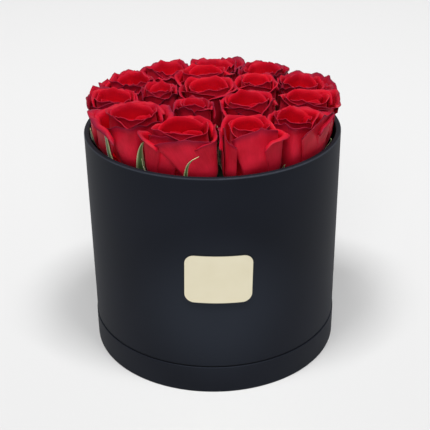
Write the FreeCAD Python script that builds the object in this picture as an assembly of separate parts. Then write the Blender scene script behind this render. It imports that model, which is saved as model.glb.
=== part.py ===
import FreeCAD, Part
import math
import os

Vector = FreeCAD.Vector
UP = Vector(0, 0, 1)

# Drum: millimetres, Z = 0 is the table, the plate faces -Y
drum_radius = 100.0
rim_height = 183.0
sleeve_thickness = 1.2
tube_thickness = 2.0
lining_thickness = 0.7
floor_thickness = 2.0
rim_fold = 1.3
rim_rounding = 1.0
glue_line = 0.05

# Base tray that the foot of the drum drops into
tray_board = 2.0
tray_wall = 1.5
tray_height = 23.0
tray_rounding = 0.5
tray_clearance = 0.35
seam_gap = 1.2

# Plate on the front, bent to the drum
plate_width = 50.0
plate_height = 39.6
plate_corner = 7.0
plate_thickness = 0.8
plate_edge_rounding = 0.4
plate_centre_height = 102.0
plate_turn = 1.7
plate_tilt = 1.4
tape_thickness = 0.5
tape_margin = 4.0

# Film liner with two cakes of foam
liner_thickness = 0.4
liner_clearance = 0.4
liner_below_rim = 30.0
foam_clearance = 0.3

# Roses: share of the outer ring's radius, azimuth in degrees from +X, the head's share of a full
# spread, and how far its lips stand above an even crown
head_spread = 26.0
rose_places = [
    (0.98, 254, 1.08, 2.5), (0.98, 291, 0.96, 2.5), (1.02, 322, 1.06, 1.0), (0.98, 354, 1.0, 0.5),
    (1.04, 22, 1.06, 0.0), (0.98, 56, 0.9, -1.0), (0.99, 88, 0.96, -1.0), (0.98, 119, 0.94, -0.5),
    (1.0, 150, 1.0, 0.0), (1.0, 180, 0.96, 0.5), (0.95, 217, 1.08, 2.5), (0.48, 250, 0.82, 2.0),
    (0.5, 315, 1.02, 1.0), (0.54, 28, 0.88, 1.0), (0.57, 100, 0.96, 1.5), (0.56, 173, 0.84, 0.0),
    (0.08, 130, 1.0, 1.0),
]
outer_axis_to_wall = 20.5
head_rise = 26.0
crown_rise = 6.0
lean = 0.07
head_height = 52.0
head_gap = 0.5
cell_sharpness = 5
lip_overhang = 5.0
free_above_rim = 6.0

# Petals of one head, from the rolled heart outwards
petal_count = 8
petal_turn = 137.5
petal_thickness = 0.7
petal_tuck = 0.7
heart_radius = 3.2
heart_foot = 1.5
heart_closing = 2.5
heart_closing_share = 0.33
heart_drop = 3.6
outer_drop = 7.5
lip_roll = 3.5
receptacle_radius = 7.0

# Half width in degrees, strips across, and shares of a petal's height with the width there
heart_petal = (150, 7, [(0, 0.4), (0.6, 1), (1, 1)])
inner_petal = (95, 5, [(0, 0.45), (0.6, 1), (1, 0.68)])
outer_petal = (68, 4, [(0, 0.5), (0.33, 0.9), (0.72, 1), (1, 0.68)])
inner_petal_count = 2
belly_share = 0.6
belly_fullness = 0.8
tallest_place = 0.4

# Stem, hip and sepals
stem_radius = 2.7
stem_depth = 45.0
stem_showing = 12.5
stem_hole_clearance = 0.15
stem_sides = 6
hip_radius = 7.4
hip_height = 10.0
hip_outline = [(0.35, 0.85), (0.7, 1)]
sepal_count = 5
sepal_rise = 36.0
sepal_half_width = 4.0
sepal_thickness = 0.8
sepal_stand_off = 1.3
sepal_root_depth = 3.0
seat_gap = 0.2

# Shares of a sepal's rise with the width there, from the shoulder to the tip
sepal_outline = [(0.03, 0.8), (0.4, 1), (0.75, 0.6), (1, 0.08)]
weld_distance = 0.0001

# Radii and heights that follow
sleeve_inner = drum_radius - sleeve_thickness
tube_outer = sleeve_inner - glue_line
tube_inner = tube_outer - tube_thickness
lining_outer = tube_inner - glue_line
lining_inner = lining_outer - lining_thickness
tray_inner = tube_outer + tray_clearance
tray_outer = tray_inner + tray_wall
floor_top = tray_board + floor_thickness
fold_underside = rim_height - rim_fold
liner_outer = lining_inner - liner_clearance
liner_inner = liner_outer - liner_thickness
liner_top = rim_height - liner_below_rim
foam_radius = liner_inner - foam_clearance
foam_bottom = floor_top + liner_thickness
foam_top = rim_height + head_rise - head_height - hip_height - stem_showing
foam_middle = (foam_bottom + foam_top) / 2
outer_ring = liner_inner - outer_axis_to_wall
tape_outer = drum_radius + tape_thickness


def ring(inner, outer, bottom, top):
    """Plain tube about the drum's axis."""
    face = Part.Face(Part.makePolygon([
        Vector(inner, 0, bottom), Vector(outer, 0, bottom),
        Vector(outer, 0, top), Vector(inner, 0, top), Vector(inner, 0, bottom)]))
    return face.revolve(Vector(), UP, 360)


def disc(radius, bottom, top):
    return Part.makeCylinder(radius, top - bottom, Vector(0, 0, bottom))


def rounded_edges(solid, radius, heights, at_radius):
    """Fillet the circular edges of a turned solid that lie at these heights and this radius."""
    edges = []
    for edge in solid.Edges:
        if not isinstance(edge.Curve, Part.Circle):
            continue
        same_radius = abs(edge.Curve.Radius - at_radius) < glue_line / 2
        same_height = any(abs(edge.Curve.Center.z - height) < glue_line / 2 for height in heights)
        if same_radius and same_height:
            edges.append(edge)
    return solid.makeFillet(radius, edges)


# Base tray

def tray_rim():
    band = ring(tray_inner, tray_outer, 0, tray_height)
    return rounded_edges(band, tray_rounding, (0, tray_height), tray_outer)


def tray_disc():
    return disc(tray_inner - glue_line, 0, tray_board)


# Drum

def drum_sleeve():
    """Outer sleeve: its covered edge is folded in over the ends of the tube and the lining."""
    bottom = tray_height + seam_gap
    round_start = rim_height - rim_rounding
    half = rim_rounding * math.sqrt(0.5)

    def corner(start, centre_x, side, end):
        middle = Vector(centre_x + side * half, 0, round_start + half)
        return Part.Arc(start, middle, end).toShape()

    outer_low = Vector(drum_radius, 0, round_start)
    outer_high = Vector(drum_radius - rim_rounding, 0, rim_height)
    inner_high = Vector(lining_inner + rim_rounding, 0, rim_height)
    inner_low = Vector(lining_inner, 0, round_start)
    inside = [
        inner_low, Vector(lining_inner, 0, fold_underside), Vector(sleeve_inner, 0, fold_underside),
        Vector(sleeve_inner, 0, bottom), Vector(drum_radius, 0, bottom), outer_low]
    edges = Part.makePolygon(inside).Edges
    edges.append(corner(outer_low, outer_high.x, 1, outer_high))
    edges.append(Part.makeLine(outer_high, inner_high))
    edges.append(corner(inner_high, inner_high.x, -1, inner_low))
    return Part.Face(Part.Wire(Part.__sortEdges__(edges))).revolve(Vector(), UP, 360)


def drum_tube():
    return ring(tube_inner, tube_outer, tray_board, fold_underside - glue_line)


def drum_lining():
    return ring(lining_inner, lining_outer, floor_top, fold_underside - glue_line)


def drum_floor():
    return disc(tube_inner - glue_line, tray_board, floor_top)


# Plate and its adhesive pad

def bent_panel(inner, outer, width, height, corner):
    """Rounded rectangle cut from a tube's wall on the -Y side."""
    bottom = plate_centre_height - height / 2
    wall = ring(inner, outer, bottom - width, bottom + height + width)
    blank = Part.makeBox(width, outer, height, Vector(-width / 2, -outer, bottom))
    along_y = [e for e in blank.Edges if abs(e.tangentAt(e.FirstParameter).y) > 0.9]
    outline = blank.makeFillet(corner, along_y)
    outline.rotate(Vector(0, 0, plate_centre_height), Vector(0, 1, 0), plate_tilt)
    panel = wall.common(outline)
    panel.rotate(Vector(), UP, plate_turn)
    return panel.Solids[0]


def plate():
    inner = tape_outer + glue_line
    outer = inner + plate_thickness
    panel = bent_panel(inner, outer, plate_width, plate_height, plate_corner)
    face = max(panel.Faces, key=lambda f: f.CenterOfMass.Length if f.Area > panel.Area / 3 else 0)
    return panel.makeFillet(plate_edge_rounding, face.Edges)


def plate_tape():
    width = plate_width - 2 * tape_margin
    height = plate_height - 2 * tape_margin
    return bent_panel(drum_radius + glue_line, tape_outer, width, height, plate_corner - tape_margin)


# Liner and foam

def liner():
    cup = disc(liner_outer, floor_top, liner_top)
    return cup.cut(disc(liner_inner, foam_bottom, liner_top))


def foam_lower():
    return disc(foam_radius, foam_bottom, foam_middle)


def foam_upper(roses):
    cake = disc(foam_radius, foam_middle, foam_top)
    for rose in roses:
        foot = rose.axis_at(rose.stem_foot - stem_hole_clearance - lean * stem_radius)
        along = rose.axis_at(foam_top) - foot
        cake = cake.cut(Part.makeCylinder(stem_radius + stem_hole_clearance, 2 * along.Length, foot, along))
    return cake


# Roses

def facet_solid(rings_or_rows, facets):
    """Closed solid from points in rows and triangles that index them."""
    points = [point for row in rings_or_rows for point in row]
    shell = Part.Shape()
    shell.makeShapeFromMesh((points, facets), weld_distance)
    solid = Part.makeSolid(shell)
    if solid.Volume < 0:
        solid.reverse()
    return solid


def blade_solid(front, back):
    """Thin leaf between two grids of points, closed along its edges."""
    rows = len(front)
    columns = len(front[0])
    shift = rows * columns
    facets = []
    for i in range(rows - 1):
        for j in range(columns - 1):
            a = i * columns + j
            b = a + 1
            c = a + columns
            d = c + 1
            facets += [(a, b, d), (a, d, c)]
            facets += [(a + shift, d + shift, b + shift), (a + shift, c + shift, d + shift)]
    last = (rows - 1) * columns
    border = list(range(columns))
    border += [i * columns + columns - 1 for i in range(1, rows)]
    border += [last + j for j in range(columns - 2, -1, -1)]
    border += [i * columns for i in range(rows - 2, 0, -1)]
    for a, b in zip(border, border[1:] + border[:1]):
        facets += [(a, a + shift, b + shift), (a, b + shift, b)]
    return facet_solid(front + back, facets)


def post_solid(rings):
    """Solid through rings of points, closed flat at both ends."""
    sides = len(rings[0])
    facets = []
    for i in range(len(rings) - 1):
        for j in range(sides):
            a = i * sides + j
            b = i * sides + (j + 1) % sides
            facets += [(a, b, b + sides), (a, b + sides, a + sides)]
    top = (len(rings) - 1) * sides
    for j in range(1, sides - 1):
        facets += [(0, j + 1, j), (top, top + j, top + j + 1)]
    return facet_solid(rings, facets)


class Rose:
    """One cut rose: its leaning axis, the room that its head has, and its solids."""

    def __init__(self, ring_share, azimuth, size, rise):
        self.radius = outer_ring * ring_share
        self.direction = Vector(math.cos(math.radians(azimuth)), math.sin(math.radians(azimuth)), 0)
        self.spread = head_spread * size
        self.turn = azimuth
        self.lip = rim_height + head_rise + crown_rise * (1 - ring_share ** 2) + rise
        self.base = self.lip - head_height
        self.stem_foot = foam_top - stem_depth

    def axis_at(self, z):
        """Point of the leaning axis at this height."""
        tilt = lean * self.radius / outer_ring
        out = self.direction * (self.radius + tilt * (z - self.lip))
        return Vector(out.x, out.y, z)

    def room(self, direction, z, roses):
        """Free way from the axis to the wall and to the neighbours' shares, blended so it is round."""
        here = self.axis_at(z)
        inside = liner_inner - head_gap
        above = min(1, max(0, (z - rim_height - free_above_rim) / (head_rise - free_above_rim)))
        reach = inside + (drum_radius + lip_overhang - inside) * above
        level = Vector(here.x, here.y, 0)
        along = level.dot(direction)
        ways = [math.sqrt(along ** 2 + reach ** 2 - level.Length ** 2) - along]
        for other in roses:
            if other is self:
                continue
            way = other.axis_at(z) - here
            facing = way.dot(direction) / way.Length
            if facing > 0:
                share = self.spread / (self.spread + other.spread)
                ways.append((way.Length * share - head_gap / 2) / facing)
        return sum(way ** -cell_sharpness for way in ways) ** (-1 / cell_sharpness)

    def point(self, angle, radius, z, roses):
        """Point of the head, drawn in where a neighbour or the wall leaves less room."""
        direction = Vector(math.cos(angle), math.sin(angle), 0)
        widest = self.spread + lip_roll + petal_thickness
        squeeze = min(1, self.room(direction, z, roses) / widest)
        return self.axis_at(z) + direction * (radius * squeeze)

    def flank(self, place, share):
        """Radius of a petal's middle line at a share of its height; place runs from heart to outside."""
        foot = heart_foot + (receptacle_radius - petal_thickness - heart_foot) * place
        belly = heart_radius + (self.spread - heart_radius) * place
        swell = math.sin(math.pi / 2 * min(1, share / belly_share)) ** belly_fullness
        above_belly = max(0, (share - belly_share) / (1 - belly_share))
        closing = min(heart_closing, heart_closing_share * belly) * (1 - place) * above_belly
        return foot + (belly - foot) * swell - closing + lip_roll * place ** 3 * above_belly ** 2

    def petal_top(self, place):
        """Height of a petal: the heart sits a little low, the outer lips hang lowest."""
        if place < tallest_place:
            return head_height - heart_drop * (1 - place / tallest_place) ** 2
        return head_height - outer_drop * ((place - tallest_place) / (1 - tallest_place)) ** 2

    def petal(self, number, roses):
        """One petal: a claw on the receptacle, a cupped blade and a rounded or rolled lip."""
        place = number / (petal_count - 1)
        centre = math.radians(self.turn + number * petal_turn)
        if number == 0:
            half_width, strips, outline = heart_petal
        elif number <= inner_petal_count:
            half_width, strips, outline = inner_petal
        else:
            half_width, strips, outline = outer_petal
        front = []
        back = []
        for share, width in outline:
            z = self.base + seat_gap + (self.petal_top(place) - seat_gap) * share
            outer_row = []
            inner_row = []
            for strip in range(strips + 1):
                across = 2 * strip / strips - 1
                angle = centre + math.radians(half_width * width) * across
                radius = self.flank(place, share) + petal_tuck * across * share
                outer_row.append(self.point(angle, radius + petal_thickness / 2, z, roses))
                inner_row.append(self.point(angle, radius - petal_thickness / 2, z, roses))
            front.append(outer_row)
            back.append(inner_row)
        return blade_solid(front, back)

    def petals(self, roses):
        return Part.makeCompound([self.petal(number, roses) for number in range(petal_count)])

    def sepal(self, number, roses):
        """Slender leaf that grows from the hip's shoulder up the side of the head."""
        centre = math.radians(self.turn + 360 * number / sepal_count)
        rows = [(-sepal_root_depth, hip_radius / 2, sepal_outline[0][1])]
        for share, width in sepal_outline:
            z = sepal_rise * share
            side = self.flank(1, z / self.petal_top(1)) + petal_thickness / 2
            rows.append((z, side + sepal_stand_off, width))
        front = []
        back = []
        for z, radius, width in rows:
            half = sepal_half_width * width / max(radius, hip_radius)
            ends = (centre - half, centre + half)
            front.append([self.point(a, radius + sepal_thickness, self.base + z, roses) for a in ends])
            back.append([self.point(a, radius, self.base + z, roses) for a in ends])
        return blade_solid(front, back)

    def stem(self, roses):
        """Stem and hip in one, with the sepals grown from the hip's shoulder."""
        hip_bottom = self.base - hip_height
        profile = [(self.stem_foot, stem_radius), (hip_bottom, stem_radius)]
        profile += [(hip_bottom + share * hip_height, width * hip_radius) for share, width in hip_outline]
        profile.append((self.base, receptacle_radius))
        rings = []
        for z, radius in profile:
            angles = [2 * math.pi * side / stem_sides for side in range(stem_sides)]
            centre = self.axis_at(z)
            rings.append([centre + Vector(math.cos(a), math.sin(a), 0) * radius for a in angles])
        sepals = [self.sepal(number, roses) for number in range(sepal_count)]
        return post_solid(rings).multiFuse(sepals)


roses = [Rose(*place) for place in rose_places]
nodes = {
    "tray_disc": tray_disc(),
    "tray_rim": tray_rim(),
    "drum_tube": drum_tube(),
    "drum_sleeve": drum_sleeve(),
    "drum_lining": drum_lining(),
    "drum_floor": drum_floor(),
    "plate": plate(),
    "plate_tape": plate_tape(),
    "liner": liner(),
    "foam_lower": foam_lower(),
    "foam_upper": foam_upper(roses),
}
for number, rose in enumerate(roses, 1):
    nodes[f"rose_{number:02d}_stem"] = rose.stem(roses)
    nodes[f"rose_{number:02d}_petals"] = rose.petals(roses)

os.makedirs("parts", exist_ok=True)
for name, shape in nodes.items():
    shape.exportStep(f"parts/{name}.step")
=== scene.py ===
import bmesh
import bpy
import math
import random
from mathutils import Matrix, Vector


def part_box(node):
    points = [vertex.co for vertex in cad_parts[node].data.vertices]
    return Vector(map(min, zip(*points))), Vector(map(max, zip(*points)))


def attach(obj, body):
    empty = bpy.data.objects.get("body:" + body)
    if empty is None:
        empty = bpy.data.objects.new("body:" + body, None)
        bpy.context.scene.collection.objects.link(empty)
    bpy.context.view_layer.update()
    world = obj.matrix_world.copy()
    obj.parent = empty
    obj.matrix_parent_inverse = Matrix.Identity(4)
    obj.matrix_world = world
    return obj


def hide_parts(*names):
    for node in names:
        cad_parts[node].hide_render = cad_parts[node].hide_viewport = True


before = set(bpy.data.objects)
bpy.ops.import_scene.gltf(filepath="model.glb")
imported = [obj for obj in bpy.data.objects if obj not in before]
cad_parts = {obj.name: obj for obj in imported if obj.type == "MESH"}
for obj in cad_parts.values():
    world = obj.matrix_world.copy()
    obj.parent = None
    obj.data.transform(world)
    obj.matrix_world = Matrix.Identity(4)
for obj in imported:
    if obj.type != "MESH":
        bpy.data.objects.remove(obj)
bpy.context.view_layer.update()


# Base tray: a board disc with a low card band round it, both covered in black paper.
# The paper is laminated with a matt soft-touch film, so it is dark, dense and only
# catches light along its turned edges.
MM = 0.001


def linear(code):
    """Linear colour of an sRGB hex value."""
    parts = [int(code[i:i + 2], 16) / 255 for i in (1, 3, 5)]
    return [p / 12.92 if p <= 0.04045 else ((p + 0.055) / 1.055) ** 2.4 for p in parts] + [1.0]


def finish_of(name, **sockets):
    """New material with these values on its shader's own sockets."""
    made = bpy.data.materials.new(name)
    made.use_nodes = True
    shader = made.node_tree.nodes["Principled BSDF"]
    for socket, value in sockets.items():
        shader.inputs[socket.replace("_", " ")].default_value = value
    return made


def add(owner, kind, inputs, output=None, into=None, **settings):
    """Add a node and return its first output in use, or the one named. Inputs, by name or by number,
    are values or outputs to link, and into is the shader's socket that the output feeds."""
    tree = owner.node_tree
    made = tree.nodes.new("ShaderNode" + kind)
    for name, value in settings.items():
        setattr(made, name, value)
    in_use = [socket for socket in made.inputs if socket.enabled]
    names = [socket.name for socket in in_use]
    for key, value in inputs.items():
        socket = in_use[key if isinstance(key, int) else names.index(key)]
        if isinstance(value, bpy.types.NodeSocket):
            tree.links.new(value, socket)
        else:
            socket.default_value = value
    result = next(socket for socket in made.outputs if socket.enabled and output in (None, socket.name))
    if into:
        tree.links.new(result, tree.nodes["Principled BSDF"].inputs[into])
    return result


def dress(material, *names):
    """Give carried-over solids this material."""
    for name in names:
        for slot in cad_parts[name].material_slots:
            slot.material = material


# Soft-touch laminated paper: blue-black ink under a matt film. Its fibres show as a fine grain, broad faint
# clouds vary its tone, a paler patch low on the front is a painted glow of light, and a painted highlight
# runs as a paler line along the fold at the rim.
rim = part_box("drum_sleeve")[1].z
# Painted highlight along the fold at the rim: heights where it starts, is full, fades and ends
highlight_starts, highlight_full, highlight_fades, highlight_ends = [rim - depth * MM for depth in (1.5, 0.6, 0.4, 0.05)]
fibre_size = 0.6 * MM
fibre_relief = 0.05 * MM
cloud_size = 80 * MM
# Painted glow of light, a paler patch low on the front of the wall: its centre, the core where it is full,
# and its reach
painted_glow_centre = (0, -100 * MM, 74 * MM)
painted_glow_core = 12 * MM
painted_glow_reach = 76 * MM

soft_touch = finish_of("soft_touch_black_paper", IOR=1.45, Specular_IOR_Level=0.18,
                       Specular_Tint=linear("#b9c8de"))
where = add(soft_touch, "TexCoord", {}, "Object")
fibre = add(soft_touch, "TexNoise", {"Vector": where, "Scale": 1 / fibre_size, "Detail": 3.0})
cloud = add(soft_touch, "TexNoise", {"Vector": where, "Scale": 1 / cloud_size, "Detail": 2.0})
ink = add(soft_touch, "Mix", {"Factor": cloud, "A": linear("#0e0f13"), "B": linear("#1b1d25")},
          data_type="RGBA")
# Painted glow: the ink pales towards a point low on the front of the wall
away = add(soft_touch, "VectorMath", {0: where, 1: painted_glow_centre}, operation="DISTANCE")
painted_glow = add(soft_touch, "MapRange", {"Value": away, "From Min": painted_glow_core, "From Max": painted_glow_reach,
                                      "To Min": 0.8, "To Max": 0.0}, interpolation_type="SMOOTHSTEP")
ink_with_painted_glow = add(soft_touch, "Mix", {"Factor": painted_glow, "A": ink, "B": linear("#292d35")}, data_type="RGBA")
height = add(soft_touch, "SeparateXYZ", {"Vector": where}, "Z")
# Painted highlight: a paler band along the fold at the rim, flecked by the paper's grain
above = add(soft_touch, "MapRange", {"Value": height, "From Min": highlight_starts, "From Max": highlight_full})
below = add(soft_touch, "MapRange", {"Value": height, "From Min": highlight_ends, "From Max": highlight_fades})
fold_highlight = add(soft_touch, "Math", {0: above, 1: below}, operation="MULTIPLY")
highlight_and_dried_edge = add(soft_touch, "Math", {0: fold_highlight, 1: fibre}, operation="MULTIPLY")
# Base colour: the ink with its painted glow, and the painted highlight along the fold
add(soft_touch, "Mix", {"Factor": highlight_and_dried_edge, "A": ink_with_painted_glow, "B": linear("#41464f")}, into="Base Color",
    data_type="RGBA")
add(soft_touch, "MapRange", {"Value": cloud, "To Min": 0.58, "To Max": 0.68}, into="Roughness")
add(soft_touch, "Bump", {"Height": fibre, "Strength": 0.12, "Distance": fibre_relief}, into="Normal")
dress(soft_touch, "tray_disc", "tray_rim")


# Drum: a stiff board tube inside a covered sleeve, with a paper lining and a board floor.
# The sleeve's paper is folded over the rim and glued down inside, and the tube's bare foot
# drops into the tray.
dress(soft_touch, "drum_sleeve", "drum_lining", "drum_floor")

# Black-dyed board: pressed pulp, matt and slightly brown, with flecks of fibre about 1 mm long.
fleck_size = 1 * MM
fleck_relief = 0.1 * MM

black_board = finish_of("black_dyed_board", Roughness=0.9, Specular_IOR_Level=0.2)
where = add(black_board, "TexCoord", {}, "Object")
fleck = add(black_board, "TexNoise", {"Vector": where, "Scale": 1 / fleck_size, "Detail": 4.0})
add(black_board, "Mix", {"Factor": fleck, "A": linear("#0e0e0f"), "B": linear("#252423")},
    into="Base Color", data_type="RGBA")
add(black_board, "Bump", {"Height": fleck, "Strength": 0.3, "Distance": fleck_relief}, into="Normal")
dress(black_board, "drum_tube")


# Plate: thin pale gold sheet metal bent to the drum, with rounded corners and a bare face.
# A white foam pad behind it holds it on the paper.

# Satin champagne plating: brushed up and down so lightly that the strokes melt into a soft glow,
# with a faint haze of duller and brighter patches.
stroke_width = 0.5 * MM
stroke_length = 6 * MM
stroke_relief = 0.02 * MM
haze_size = 18 * MM
stretch = stroke_length / stroke_width

champagne = finish_of("satin_champagne_plate", Metallic=1.0)
where = add(champagne, "TexCoord", {}, "Object")
along = add(champagne, "Mapping", {"Vector": where, "Scale": (stretch, stretch, 1)})
stroke = add(champagne, "TexNoise", {"Vector": along, "Scale": 1 / stroke_length, "Detail": 3.0})
haze = add(champagne, "TexNoise", {"Vector": where, "Scale": 1 / haze_size, "Detail": 2.0})
add(champagne, "Mix", {"Factor": haze, "A": linear("#e8dfc1"), "B": linear("#f1ead1")},
    into="Base Color", data_type="RGBA")
add(champagne, "MapRange", {"Value": haze, "To Min": 0.3, "To Max": 0.42}, into="Roughness")
add(champagne, "Bump", {"Height": stroke, "Strength": 0.05, "Distance": stroke_relief}, into="Normal")
dress(champagne, "plate")

# Foam tape: white closed-cell foam with pores of about 0.3 mm on its cut edges.
pore_size = 0.3 * MM

foam_tape = finish_of("white_foam_tape", Roughness=0.85)
where = add(foam_tape, "TexCoord", {}, "Object")
pore = add(foam_tape, "TexVoronoi", {"Vector": where, "Scale": 1 / pore_size})
add(foam_tape, "Mix", {"Factor": pore, "A": linear("#cfccc2"), "B": linear("#ece9e0")},
    into="Base Color", data_type="RGBA")
dress(foam_tape, "plate_tape")


# Liner and foam: two cakes of water-soaked flower foam stand in a cup of black film
# that keeps the wet off the board. The stems are pushed into the upper cake.

# Polythene film: smooth and black, with soft creases about 14 mm apart that break up its gloss.
crease_size = 14 * MM
crease_relief = 0.8 * MM

film = finish_of("black_polythene_film", Roughness=0.35, IOR=1.5)
where = add(film, "TexCoord", {}, "Object")
crease = add(film, "TexNoise", {"Vector": where, "Scale": 1 / crease_size, "Detail": 3.0, "Distortion": 0.8})
add(film, "Mix", {"Factor": crease, "A": linear("#15161a"), "B": linear("#24262b")}, into="Base Color",
    data_type="RGBA")
add(film, "Bump", {"Height": crease, "Strength": 0.4, "Distance": crease_relief}, into="Normal")
dress(film, "liner")

# Flower foam: phenolic foam of fine open cells, deep green when wet. The cells are too fine to show
# and are drawn at 1.2 mm so that they do.
cell_size = 1.2 * MM
cell_relief = 0.4 * MM

flower_foam = finish_of("wet_flower_foam", Roughness=0.8)
where = add(flower_foam, "TexCoord", {}, "Object")
cell = add(flower_foam, "TexVoronoi", {"Vector": where, "Scale": 1 / cell_size})
add(flower_foam, "Mix", {"Factor": cell, "A": linear("#2f4a2c"), "B": linear("#16301b")},
    into="Base Color", data_type="RGBA")
add(flower_foam, "Bump", {"Height": cell, "Strength": 0.5, "Distance": cell_relief}, into="Normal")
dress(flower_foam, "foam_lower", "foam_upper")


# Roses: cut roses set so close that their heads fill the rim. Eleven stand round the wall and lean out
# a little, five stand inside them and one in the middle. Each head spreads into the room that the wall
# and its neighbours leave.
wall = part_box("liner")[1].x
outer_ring = 74.7 * MM
slope_of_lean = 0.07

# Room of a head: kept from the wall at the rim, gained above it, how sharp its corners stay,
# and the number of directions in which it is worked out
clear_of_wall = 1 * MM
spill_over_rim = 2 * MM
corner_sharpness = 8
directions = 72

# Of each rose: share of the outer ring's radius, azimuth, share of a full spread, age that makes the lips
# dusky and ragged, width of the bowl, and how much of its room the head fills
places = [
    (0.98, 254, 1.08, 1.0, 1.05, 0.95),
    (0.98, 291, 0.96, 1.0, 0.86, 0.95),
    (1.02, 322, 1.06, 1.1, 0.9, 0.95),
    (0.98, 354, 1.0, 1.0, 1.0, 0.95),
    (1.04, 22, 1.06, 1.3, 1.0, 0.95),
    (0.98, 56, 0.9, 1.4, 1.0, 0.93),
    (0.99, 88, 0.96, 1.5, 1.0, 0.95),
    (0.98, 119, 0.94, 1.3, 1.0, 0.95),
    (1.0, 150, 1.0, 1.4, 1.0, 0.95),
    (1.0, 180, 0.96, 1.15, 1.0, 0.95),
    (0.95, 217, 1.08, 1.25, 0.94, 0.95),
    (0.48, 250, 0.82, 1.2, 0.86, 0.76),
    (0.5, 315, 1.02, 1.1, 1.03, 0.95),
    (0.54, 28, 0.88, 1.0, 0.9, 0.91),
    (0.57, 100, 0.96, 1.0, 1.04, 0.95),
    (0.56, 173, 0.84, 1.2, 0.9, 0.87),
    (0.08, 130, 1.0, 1.0, 1.05, 1.02),
]


def towards(angle):
    """Level arrow of length 1 at this angle."""
    return Vector((math.cos(angle), math.sin(angle), 0))


roses = []
for number, (ring_share, azimuth, size, age, bowl, fill) in enumerate(places, 1):
    low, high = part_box(f"rose_{number:02d}_petals")
    roses.append({
        "number": number, "name": f"rose_{number:02d}", "radius": outer_ring * ring_share, "azimuth": azimuth,
        "out": towards(math.radians(azimuth)), "size": size, "age": age, "bowl": bowl, "fill": fill,
        "base": low.z, "lip": high.z})


def axis_at(rose, z):
    """Point of a rose's leaning axis at this height."""
    tilt = slope_of_lean * rose["radius"] / outer_ring
    point = rose["out"] * (rose["radius"] + tilt * (z - rose["lip"]))
    return Vector((point.x, point.y, z))


def room(rose, angle, z, reach):
    """Free way from the axis to the wall and to the neighbours' shares, with its corners rounded."""
    arrow = towards(angle)
    here = axis_at(rose, z)
    level = Vector((here.x, here.y, 0))
    along = level.dot(arrow)
    ways = [math.sqrt(along ** 2 + reach ** 2 - level.length_squared) - along]
    for other in roses:
        if other is not rose:
            way = axis_at(other, z) - here
            facing = way.normalized().dot(arrow)
            if facing > 0:
                ways.append(way.length * rose["size"] / (rose["size"] + other["size"]) / facing)
    return sum((way / MM) ** -corner_sharpness for way in ways) ** (-1 / corner_sharpness) * MM


for rose in roses:
    angles = [2 * math.pi * step / directions for step in range(directions)]
    rose["room_low"] = [room(rose, angle, rim, wall - clear_of_wall) for angle in angles]
    rose["room_high"] = [room(rose, angle, rose["lip"], wall + spill_over_rim) for angle in angles]


def above_rim(rose, z):
    """Share of the way from the rim to the rose's lips."""
    return min(1, max(0, (z - rim) / (rose["lip"] - rim)))


def room_at(rose, angle, z):
    """Room between the two rings of values, at the rim and at the lips."""
    step = angle / (2 * math.pi) * directions % directions
    first, share = int(step), step % 1
    second = (first + 1) % directions
    low = rose["room_low"][first] * (1 - share) + rose["room_low"][second] * share
    high = rose["room_high"][first] * (1 - share) + rose["room_high"][second] * share
    return low + (high - low) * above_rim(rose, z)


# Stem, hip and sepals: a green stem with a swollen hip under the head and five slender leaves
# that grow from the hip's shoulder and lie against the outer petals, some with a curled tip.
# The foot of the stem is pushed into the foam.
stem_radius = 2.7 * MM
stem_depth = 45 * MM
stem_sides = 20
hip_radius = 7.4 * MM
hip_height = 10 * MM
weld = 0.01 * MM
foam_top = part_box("foam_upper")[1].z

# Outline of the hip from the stem to the seat of the petals: radius, and height above the hip's foot
hip_outline = [
    (stem_radius, -2 * MM),
    (1.25 * stem_radius, 0),
    (0.72 * hip_radius, 2.5 * MM),
    (hip_radius, 6 * MM),
    (hip_radius, 8.5 * MM),
    (0.8 * hip_radius, hip_height + 0.1 * MM),
]

# Stem skin: smooth, slightly waxy green with paler streaks that run along the stem.
streak_width = 2 * MM
streak_flattening = 0.15
streak_relief = 0.1 * MM

stem_green = finish_of("rose_stem_skin", IOR=1.45, Sheen_Weight=0.1, Sheen_Roughness=0.5)
where = add(stem_green, "TexCoord", {}, "Object")
drawn_out = add(stem_green, "Mapping", {"Vector": where, "Scale": (1, 1, streak_flattening)})
streak = add(stem_green, "TexNoise", {"Vector": drawn_out, "Scale": 1 / streak_width, "Detail": 3.0})
add(stem_green, "Mix", {"Factor": streak, "A": linear("#3f5a26"), "B": linear("#6f8a45")},
    into="Base Color", data_type="RGBA")
add(stem_green, "MapRange", {"Value": streak, "To Min": 0.4, "To Max": 0.6}, into="Roughness")
add(stem_green, "Bump", {"Height": streak, "Strength": 0.2, "Distance": streak_relief}, into="Normal")

# Sepal skin: dark green along the middle and pale cream towards its thin, downy edges.
sepal_green = finish_of("downy_sepal", Roughness=0.6, Sheen_Weight=0.3, Sheen_Roughness=0.4)
blade = add(sepal_green, "UVMap", {}, uv_map="UVMap")
across = add(sepal_green, "SeparateXYZ", {"Vector": blade}, "X")
side = add(sepal_green, "Math", {0: across, 1: 0.5}, operation="SUBTRACT")
away = add(sepal_green, "Math", {0: side}, operation="ABSOLUTE")
edge = add(sepal_green, "MapRange", {"Value": away, "From Min": 0.2, "From Max": 0.48})
add(sepal_green, "Mix", {"Factor": edge, "A": linear("#4d6b35"), "B": linear("#c9cf9b")},
    into="Base Color", data_type="RGBA")

# A sepal starts below the head, keeps clear of the petals and is folded along its middle. From these shares
# of its length on, the tip bends away and hooks to one side. The belly is where the head's cup is full.
sepal_count = 5
sepal_step = 360 / sepal_count
sepal_thickness = 0.4 * MM
sepal_foot = 2.5 * MM
sepal_clearance = 1.1 * MM
sepal_fold = 0.8 * MM
tip_half_width = 0.15 * MM
bend_from = 0.6
tip_bend = 4 * MM
hook_from = 0.5
tip_hook = 6 * MM
belly_height = 24 * MM

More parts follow.
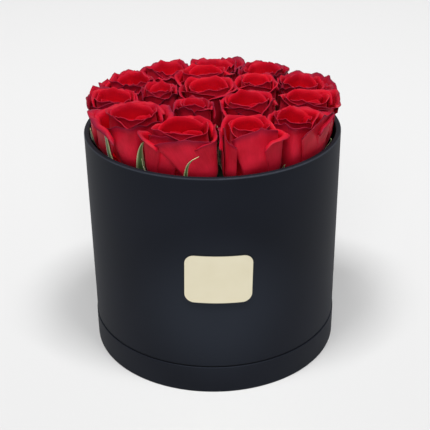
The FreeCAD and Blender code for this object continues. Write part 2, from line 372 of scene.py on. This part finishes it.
# Sepals of the roses at the front: azimuth, length in mm, sideways curl of the tip, and half width in mm,
# which is the same for all the other roses
usual_half_width = 3
front_sepals = {
    1: [(190, 30, 0, 3), (271, 42, 1.7, 1.7), (0, 40, 0.3, 3), (70, 38, 0, 3), (135, 40, -0.4, 3)],
    2: [(170, 34, 0.4, 3), (245, 22, 0, 3), (312, 22, 0.5, 3), (20, 36, 0, 3), (95, 36, 0.3, 3)],
    3: [(252, 25, 0.3, 2), (320, 20, 0.2, 3), (30, 30, 0, 3), (100, 36, 0, 3), (180, 34, 0, 3)],
    11: [(214, 47, 0, 4), (276, 45, 1.0, 3.8), (12, 36, 0, 3), (84, 38, 0.5, 3), (156, 40, 0, 3)],
}


def smooth(value):
    """Soft step from 0 to 1."""
    value = min(1, max(0, value))
    return value * value * (3 - 2 * value)


def sepal(bm, rose, turn, length, curl, broad):
    """Slender folded leaf: hugs the head from the hip's shoulder, then its tip bends away and hooks."""
    strip = bmesh.ops.create_grid(bm, x_segments=4, y_segments=18, size=1, calc_uvs=True)["verts"]
    for vert in strip:
        across, share = vert.co.x, (vert.co.y + 1) / 2
        rise = length * share
        z = rose["base"] - sepal_foot + rise
        taper = math.sin(math.pi * (0.2 + 0.8 * share)) ** 0.8 * (1 - 0.35 * share)
        width = broad * taper + tip_half_width
        swell = math.sin(math.pi / 2 * min(1, max(0, rise - sepal_foot) / belly_height)) ** 0.8
        free = room_at(rose, turn, z) * rose["fill"]
        radius = hip_radius + (free - hip_radius) * swell + sepal_clearance
        radius += tip_bend * abs(curl) * smooth((share - bend_from) / (1 - bend_from)) ** 2
        radius -= sepal_fold * abs(across) * (1 - share)
        hook = 1 - math.sqrt(1 - max(0, (share - hook_from) / (1 - hook_from)) ** 2)
        angle = turn + (across * width + tip_hook * curl * hook) / radius
        vert.co = axis_at(rose, z) + towards(angle) * radius
    for face in {face for vert in strip for face in vert.link_faces}:
        face.material_index = 1


def stem(rose):
    """Turned stem and hip, leaned with the rose, and its sepals."""
    bm = bmesh.new()
    bm.loops.layers.uv.new("UVMap")
    foot = foam_top - stem_depth
    hip_foot = rose["base"] - hip_height
    profile = [(0, foot), (stem_radius, foot)]
    profile += [(radius, hip_foot + rise) for radius, rise in hip_outline]
    profile.append((0, profile[-1][1]))
    points = [bm.verts.new((radius, 0, z)) for radius, z in profile]
    line = [bm.edges.new(pair) for pair in zip(points, points[1:])]
    bmesh.ops.spin(bm, geom=points + line, axis=(0, 0, 1), cent=(0, 0, 0), angle=2 * math.pi,
                   steps=stem_sides, use_merge=True)
    bmesh.ops.remove_doubles(bm, verts=bm.verts[:], dist=weld)
    for vert in bm.verts:
        vert.co += axis_at(rose, vert.co.z) * Vector((1, 1, 0))
    chance = random.Random(rose["number"])
    leaves = []
    for leaf in range(sepal_count):
        azimuth = rose["azimuth"] + sepal_step * (leaf + 0.5) + chance.uniform(-9, 9)
        length = chance.uniform(26, 42)
        leaves.append((azimuth, length, chance.uniform(-0.8, 0.8), usual_half_width))
    for azimuth, length, curl, broad in front_sepals.get(rose["number"], leaves):
        sepal(bm, rose, math.radians(azimuth), length * MM, curl, broad * MM)
    leaf_faces = [face for face in bm.faces if face.material_index == 1]
    bmesh.ops.solidify(bm, geom=leaf_faces, thickness=sepal_thickness)
    bmesh.ops.recalc_face_normals(bm, faces=bm.faces[:])
    return bm


def piece(bm, name, body, node, materials):
    """Finished object from a bmesh, riding on its body and standing for its solid."""
    mesh = bpy.data.meshes.new(name)
    bm.to_mesh(mesh)
    bm.free()
    for material in materials:
        mesh.materials.append(material)
    mesh.shade_smooth()
    made = bpy.data.objects.new(name, mesh)
    bpy.context.scene.collection.objects.link(made)
    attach(made, body)
    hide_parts(node)
    return made


for rose in roses:
    piece(stem(rose), rose["name"] + "_calyx", "insert", rose["name"] + "_stem",
          [stem_green, sepal_green])


# Rose heads: thin velvety petals that grow by a narrow claw from the top of the hip, in whorls. A tight heart
# sits low in the middle, tall smooth petals make the cup round it, and the outer ones roll their lips back.
# Petals follow each other by a golden angle, apart from outer ones that show.
golden_angle = 137.5
petal_thickness = 0.45 * MM

# A head before it is fitted to its room: height, and widest radius at the rim and at the lips
head_height = 52 * MM
widest_low = 26.5 * MM
widest_high = 31.5 * MM

# Veins run along a petal, which is about as long as it is wide, and blotches cloud them
petal_span = 54 * MM
vein_spacing = 0.9 * MM
vein_length = 18 * MM
vein_relief = 0.1 * MM
blotch_size = 14 * MM


def petal_skin(name, deep, bright, dusk, dusk_from, dried, bloom):
    """Velvety petal: fine veins along it, deeper red in the heart, an uneven dusky lip on the outer petals,
    and a dried edge here and there."""
    skin = finish_of(name, IOR=1.4, Specular_IOR_Level=0.14, Sheen_Weight=bloom, Sheen_Roughness=0.35,
                     Sheen_Tint=linear("#ff6f88"), Subsurface_Weight=0.08, Subsurface_Scale=1 * MM,
                     Subsurface_Radius=(1.0, 0.12, 0.1))
    where = add(skin, "TexCoord", {}, "Object")
    outward = add(skin, "Attribute", {}, "Fac", attribute_name="place")
    blade = add(skin, "UVMap", {}, uv_map="UVMap")
    across = add(skin, "SeparateXYZ", {"Vector": blade}, "X")
    up = across.node.outputs["Y"]

    # Veined and blotched red, deeper towards the heart
    veins = (petal_span / vein_spacing, petal_span / vein_length, 1)
    comb = add(skin, "Mapping", {"Vector": blade, "Scale": veins})
    vein = add(skin, "TexNoise", {"Vector": comb, "Scale": 1.0, "Detail": 2.0})
    blotch = add(skin, "TexNoise", {"Vector": where, "Scale": 1 / blotch_size, "Detail": 3.0})
    tone = add(skin, "Math", {0: vein, 1: 0.35, 2: blotch}, operation="MULTIPLY_ADD")
    share = add(skin, "MapRange", {"Value": tone, "From Min": 0.4, "From Max": 0.95})
    blush = add(skin, "Mix", {"Factor": share, "A": linear(deep), "B": linear(bright)}, data_type="RGBA")
    inward = add(skin, "MapRange", {"Value": outward, "From Max": 0.5, "To Min": 0.6, "To Max": 0.0})
    body = add(skin, "Mix", {"Factor": inward, "A": blush, "B": linear("#9c0410")}, data_type="RGBA")

    # Dusky lip, stronger on outer and older petals
    high = add(skin, "MapRange", {"Value": up, "From Min": dusk_from, "From Max": 0.97, "To Max": 0.9})
    uneven = add(skin, "MapRange", {"Value": blotch, "From Min": 0.35, "From Max": 0.6,
                                    "To Min": 0.72, "To Max": 1.1})
    dusky = add(skin, "Math", {0: high, 1: uneven}, operation="MULTIPLY")
    fade = add(skin, "Math", {0: dusky, 1: outward}, operation="MULTIPLY")
    lip = add(skin, "Mix", {"Factor": fade, "A": body, "B": linear(dusk)}, data_type="RGBA")

    # Dried border at the top and down the sides, where a blotch falls on it and the petal is old
    side = add(skin, "Math", {0: across, 1: 0.5}, operation="SUBTRACT")
    away = add(skin, "Math", {0: side}, operation="ABSOLUTE")
    flank = add(skin, "MapRange", {"Value": away, "From Min": 0.46, "From Max": 0.5})
    flap = add(skin, "Math", {0: flank, 1: high}, operation="MULTIPLY")
    top = add(skin, "MapRange", {"Value": up, "From Min": 0.92, "From Max": 1.0})
    border = add(skin, "Math", {0: flap, 1: top}, operation="MAXIMUM")
    spotted = add(skin, "Math", {0: border, 1: blotch}, operation="MULTIPLY")
    highlight_and_dried_edge = add(skin, "Math", {0: spotted, 1: outward}, operation="MULTIPLY")
    crisp = add(skin, "MapRange", {"Value": highlight_and_dried_edge, "From Min": 0.3, "From Max": 0.6, "To Max": 0.7})
    add(skin, "Mix", {"Factor": crisp, "A": lip, "B": linear(dried)}, into="Base Color", data_type="RGBA")

    add(skin, "MapRange", {"Value": blotch, "To Min": 0.45, "To Max": 0.62}, into="Roughness")
    add(skin, "Bump", {"Height": vein, "Strength": 0.15, "Distance": vein_relief}, into="Normal")
    return skin


# The inside of a petal is a warm, bright red velvet. The outside is cooler and has more bloom on it.
petal_inside = petal_skin("velvet_petal_inside", "#d50316", "#f4081e", "#78102c", 0.53, "#3a0510", 0.03)
petal_outside = petal_skin("velvet_petal_outside", "#a6091e", "#d41f39", "#8a1436", 0.74, "#420712", 0.12)

# Inner whorls: count, how much higher in mm the petals at the front stand, then first and last of half width
# in degrees, belly radius and height in mm, slope and roll in degrees, and rolled length in mm
inner_whorls = [
    (6, 2.5, (165, 95), (2.0, 10.5), (32.5, 38), (-14, -2), (5, 50), (3, 4)),
    (3, 4.5, (70, 76), (13.0, 16.5), (44, 46.5), (-2, 1), (25, 40), (3, 4)),
    (4, 0, (80, 74), (18.8, 21.2), (51.5, 52), (1, 4), (45, 80), (4, 5.5)),
]

# The cup begins with this petal, counted from 0, which stands about the rear
cup_first = 9
rear = 90
head_seed = 100

# Outer petals of the roses whose sides show, inside ones first: azimuth, then the same values, and how far
# the petal's foot is turned from its lip in degrees
shown_petals = {
    1: [(60, 62, 22.6, 51.5, 4, 90, 6, 0), (342, 56, 23.4, 52, 8, 80, 7, 0),
        (226, 46, 23.6, 48.5, 2, 30, 4, -10), (195, 34, 24.8, 51, 9, 120, 8, 0),
        (286, 68, 26.2, 49.5, 6, 40, 4, 30)],
    2: [(60, 60, 22.6, 51.5, 4, 90, 6, 0), (130, 60, 23.0, 51.5, 5, 90, 6, 0),
        (292, 56, 23.8, 51, -3, 30, 4, 0), (340, 48, 24.6, 51.5, 8, 115, 8, 0),
        (206, 43, 24.8, 49.8, 3, 40, 5, 25), (192, 38, 26.0, 50, 7, 70, 6, 22)],
    3: [(70, 60, 22.6, 51.5, 4, 90, 6, 0), (160, 62, 23.2, 51.5, 4, 100, 6, 0),
        (256, 60, 24.6, 50, 3, 50, 5, 0), (22, 66, 26.0, 51.5, 8, 100, 8, 0),
        (334, 58, 26.4, 51.5, 9, 55, 7, -20)],
    4: [(90, 60, 22.6, 51.5, 4, 90, 6, 0), (180, 62, 23.2, 51.5, 5, 100, 6, 0),
        (270, 60, 24.0, 51, 5, 80, 6, 0), (318, 58, 25.4, 51.5, 9, 100, 7, 0),
        (16, 60, 26.0, 52, 10, 55, 6, 0)],
    5: [(160, 60, 22.6, 51, 4, 90, 6, 0), (250, 60, 23.4, 51, 5, 80, 6, 0),
        (100, 60, 24.2, 50.5, 9, 70, 5, 0), (330, 58, 25.2, 50.5, 11, 70, 6, 0),
        (30, 50, 26.0, 54, 27, 45, 6, 0)],
    10: [(90, 60, 22.6, 51.5, 4, 90, 6, 0), (10, 62, 23.2, 51.5, 4, 100, 6, 0),
         (270, 60, 24.4, 50.5, 4, 60, 5, 0), (130, 58, 25.4, 51, 6, 60, 6, 0),
         (200, 62, 26.2, 51, 6, 55, 6, 0)],
    11: [(90, 62, 23.2, 51.5, 5, 100, 6, 0), (130, 60, 24.0, 51, 7, 110, 7, 0),
         (284, 70, 25.0, 49.5, 3, 60, 5, 0), (10, 60, 25.9, 52, 10, 110, 9, 0),
         (182, 64, 26.3, 51.5, 9, 115, 9, 0)],
}

# Outer petals of the other roses: count, then first and last of half width, belly, height and slope
loose_whorl = (5, (62, 54), (22.5, 25.3), (51.8, 50.2), (2, 7.2))

# Of a petal: its claw's share of the length, the foot's radius in the heart and outside, the foot's share of
# the width, the depth of a ragged edge on a rose older than fresh, and the flare of the side edges
claw = 0.4
heart_foot = 1.5 * MM
outer_foot = 6.5 * MM
foot_share = 0.4
rag_depth = 2 * MM
fresh_age = 0.92
edge_flare = 1.2 * MM

# Waves across a petal, in radians over half its width: slow and quick ones of the lip, its rags, and ripples
lip_slow, lip_quick = 2.2, 5
rag_slow, rag_quick = 12, 19
ripple = 9


def petal(bm, rose, spin, place, chance, turn, half, belly, top, slope, roll, rolled, skew):
    """One petal, cut like a shield and bent: a claw, a cupped blade, and a lip rolled back on an arc.
    Its place runs from 0 in the heart to 1 outside."""
    sheet = bmesh.ops.create_grid(bm, x_segments=20, y_segments=22, size=1, calc_uvs=True)["verts"]
    layer = bm.verts.layers.float["place"]
    foot = heart_foot + (outer_foot - heart_foot) * place
    tip = chance.uniform(0.5, 2.5) * MM
    tip_place = chance.uniform(-0.25, 0.25)
    ragged = rag_depth * place * (rose["age"] - fresh_age)
    waves = [(chance.uniform(0, 6.3), chance.uniform(0.6, 1)) for _ in range(3)]
    (first, swing), (second, _), (third, _) = waves
    mean = sum(rose["room_high"]) / directions
    for vert in sheet:
        across, share = vert.co.x, 1 - ((1 - vert.co.y) / 2) ** 1.5

        # The lip's outline is an arch with a point and ragged edges, and it waves and rolls back unevenly
        arch = 1 - 0.2 * abs(across) ** 3.5
        length = (top - belly_height) * arch + tip * max(0, 1 - 3 * abs(across - tip_place)) ** 2
        length += ragged * (math.sin(rag_slow * across + third) + 0.7 * math.sin(rag_quick * across + second))
        wave = math.sin(lip_slow * across + first) * swing + 0.5 * math.sin(lip_quick * across + second)
        bend = roll * (0.85 + 0.4 * abs(across) ** 1.5 + 0.25 * wave)
        arc = min(rolled, 0.8 * length)

        # Side view of the petal: a claw that opens to the belly, a straight blade, and the rolled arc
        if share < claw:
            rise = share / claw
            radius = foot + (belly - foot) * math.sin(math.pi / 2 * rise) ** 0.8
            z = belly_height * rise
        else:
            way = (share - claw) / (1 - claw) * length
            straight = length - arc
            level = min(way, straight)
            radius = belly + level * math.sin(slope)
            z = belly_height + level * math.cos(slope)
            if way > straight:
                bow = arc / bend
                turned = slope + (way - straight) / bow
                radius += bow * (math.cos(slope) - math.cos(turned))
                z += bow * (math.sin(turned) - math.sin(slope))

        # Outer petals ripple towards the lip, flare at their edges and fill the room that the rose has
        upper = smooth((share - 0.45) / 0.5)
        radius += place * upper * (0.4 * wave + 0.3 * math.sin(ripple * across + third)) * MM
        radius += place ** 2 * upper * edge_flare * smooth((abs(across) - 0.6) / 0.4)
        width = half * (foot_share + (1 - foot_share) * share)
        angle = turn + spin * width * across + skew * (1 - share)
        height = rose["base"] + z * (rose["lip"] - rose["base"]) / head_height
        free = mean + (room_at(rose, angle, height) - mean) * place
        widest = widest_low + (widest_high - widest_low) * above_rim(rose, height)
        fit = free * rose["fill"] / widest
        vert.co = axis_at(rose, height) + towards(angle) * radius * fit
        vert[layer] = place * rose["age"]


def along_whorl(ends, n, count):
    """Values of one petal of a whorl, between the first petal's and the last one's."""
    return [first + (last - first) * n / (count - 1) for first, last in ends]


def head(rose):
    """All petals of one rose, from the heart outwards."""
    bm = bmesh.new()
    bm.loops.layers.uv.new("UVMap")
    bm.verts.layers.float.new("place")
    chance = random.Random(head_seed + rose["number"])
    spin = chance.choice((-1, 1))
    start = rear - spin * golden_angle * cup_first + chance.uniform(-30, 30)
    petals = []
    for count, rise, *ends in inner_whorls:
        for n in range(count):
            azimuth = start + spin * golden_angle * len(petals)
            half, belly, top, *bends = along_whorl(ends, n, count)
            top -= rise * math.sin(math.radians(azimuth))
            petals.append((azimuth, half, belly * rose["bowl"], top, *bends, 0))
    loose = []
    count, *ends = loose_whorl
    for n in range(count):
        half, belly, top, slope = along_whorl(ends, n, count)
        azimuth = start + spin * (golden_angle * n + chance.uniform(-20, 20))
        slope += chance.uniform(0, 1.5)
        roll = chance.uniform(70, 120)
        rolled = chance.uniform(5, 8)
        skew = chance.uniform(-20, 20)
        loose.append((azimuth, half, belly, top, slope, roll, rolled, skew))
    petals += shown_petals.get(rose["number"], loose)
    for order, (azimuth, half, belly, top, slope, roll, rolled, skew) in enumerate(petals):
        place = order / (len(petals) - 1)
        top += chance.uniform(-0.6, 0.6)
        slope += chance.uniform(-0.7, 0.7)
        roll *= chance.uniform(0.85, 1.15)
        petal(bm, rose, spin, place, chance, math.radians(azimuth), math.radians(half), belly * MM, top * MM,
              math.radians(slope), math.radians(roll), rolled * MM, math.radians(skew))

    # A spiral the other way round turns the sheets inside out
    if spin < 0:
        bmesh.ops.reverse_faces(bm, faces=bm.faces[:])
    return bm


for rose in roses:
    made = piece(head(rose), rose["name"] + "_head", "insert", rose["name"] + "_petals",
                 [petal_outside, petal_inside])
    wall_of_petal = made.modifiers.new("thickness", "SOLIDIFY")
    wall_of_petal.thickness = petal_thickness
    wall_of_petal.offset = 0
    wall_of_petal.material_offset = 1


# Stage: a plain pale floor that runs into a pale backdrop, soft light from above and in front,
# and a camera at the photograph's place.

# In metres: half the floor's width, from where to where its grey pales towards the back, and how far off
# it begins to glow and glows in full
floor_reach = 6
grey_from, grey_to = -0.35, 1.2
glow_from, glow_to = 1.0, 2.6

floor_mesh = bpy.data.meshes.new("floor")
bm = bmesh.new()
bmesh.ops.create_grid(bm, x_segments=1, y_segments=1, size=floor_reach)
bm.to_mesh(floor_mesh)
bm.free()
floor = bpy.data.objects.new("floor", floor_mesh)
bpy.context.scene.collection.objects.link(floor)


def seen_directly(owner):
    """Whether a ray leads to the camera, straight or by way of metal or glass."""
    rays = add(owner, "LightPath", {}).node.outputs
    mirrored = add(owner, "Math", {0: rays["Is Glossy Ray"], 1: rays["Is Transmission Ray"]},
                   operation="MAXIMUM")
    return add(owner, "Math", {0: rays["Is Camera Ray"], 1: mirrored}, operation="MAXIMUM")


# Matt floor paint: grey enough near the box to hold its shadow, and far off it shows its plain colour
# unlit, so that it meets the backdrop without a line.
floor_paint = finish_of("matt_pale_floor", Roughness=0.9, Specular_IOR_Level=0.1,
                        Emission_Color=linear("#ebebeb"))
where = add(floor_paint, "TexCoord", {}, "Object")
depth = add(floor_paint, "SeparateXYZ", {"Vector": where}, "Y")
back = add(floor_paint, "MapRange", {"Value": depth, "From Min": grey_from, "From Max": grey_to})
grey = add(floor_paint, "Mix", {"Factor": back, "A": linear("#c9c9c9"), "B": linear("#f0f0f0")},
           data_type="RGBA")
distance = add(floor_paint, "VectorMath", {0: where}, operation="LENGTH")
far = add(floor_paint, "MapRange", {"Value": distance, "From Min": glow_from, "From Max": glow_to},
          interpolation_type="SMOOTHSTEP")
shown = add(floor_paint, "Math", {0: far, 1: seen_directly(floor_paint)}, into="Emission Strength",
            operation="MULTIPLY")
add(floor_paint, "Mix", {"Factor": shown, "A": grey, "B": linear("#000000")}, into="Base Color",
    data_type="RGBA")
floor_mesh.materials.append(floor_paint)

# Backdrop: pale where the camera sees it, and only a weak light on the box
world = bpy.data.worlds.new("studio")
world.use_nodes = True
bpy.context.scene.world = world
backdrop = world.node_tree.nodes["Background"]
backdrop.inputs["Color"].default_value = linear("#f0f0f0")
shown = add(world, "MapRange", {"Value": seen_directly(world), "To Min": 0.1, "To Max": 0.95})
world.node_tree.links.new(shown, backdrop.inputs["Strength"])

# Soft lamps that face the middle of the box: place and size in metres, and power in watts
box_middle = Vector((0, 0, 0.1))
softboxes = [
    ("softbox_left", (-0.8, -0.75, 3.6), (0.9, 1.0), 84),
    ("softbox_right", (0.8, -0.75, 3.6), (0.9, 1.0), 84),
    ("softbox_front", (-0.2, -3.4, 2.6), (2.4, 1.6), 50),
]
for name, place, size, power in softboxes:
    light = bpy.data.lights.new(name, "AREA")
    light.shape = "RECTANGLE"
    light.size, light.size_y = size
    light.energy = power
    lamp = bpy.data.objects.new(name, light)
    bpy.context.scene.collection.objects.link(lamp)
    lamp.location = place
    lamp.rotation_euler = (box_middle - Vector(place)).to_track_quat("-Z", "Y").to_euler()

# Camera, fitted to the rim, seam and foot of the drum in the photograph: focal length and picture's width
# in pixels, then angles and place
focal_pixels = 942.2
picture_pixels = 430
pitch, yaw, roll = [math.radians(angle) for angle in (27.57, 0.09, 0.762)]
camera_place = (0, -686.7 * MM, 461.3 * MM)

view = bpy.data.cameras.new("camera")
view.lens = focal_pixels * view.sensor_width / picture_pixels
camera = bpy.data.objects.new("camera", view)
bpy.context.scene.collection.objects.link(camera)
ahead = Vector((math.sin(yaw) * math.cos(pitch), math.cos(yaw) * math.cos(pitch), -math.sin(pitch)))
right = Vector((math.cos(yaw), -math.sin(yaw), 0))
up = right.cross(ahead)
tilted_right = right * math.cos(roll) - up * math.sin(roll)
tilted_up = up * math.cos(roll) + right * math.sin(roll)
turned = Matrix((tilted_right, tilted_up, -ahead)).transposed().to_4x4()
camera.matrix_world = Matrix.Translation(camera_place) @ turned
bpy.context.scene.camera = camera
bpy.context.scene.view_settings.view_transform = "Standard"
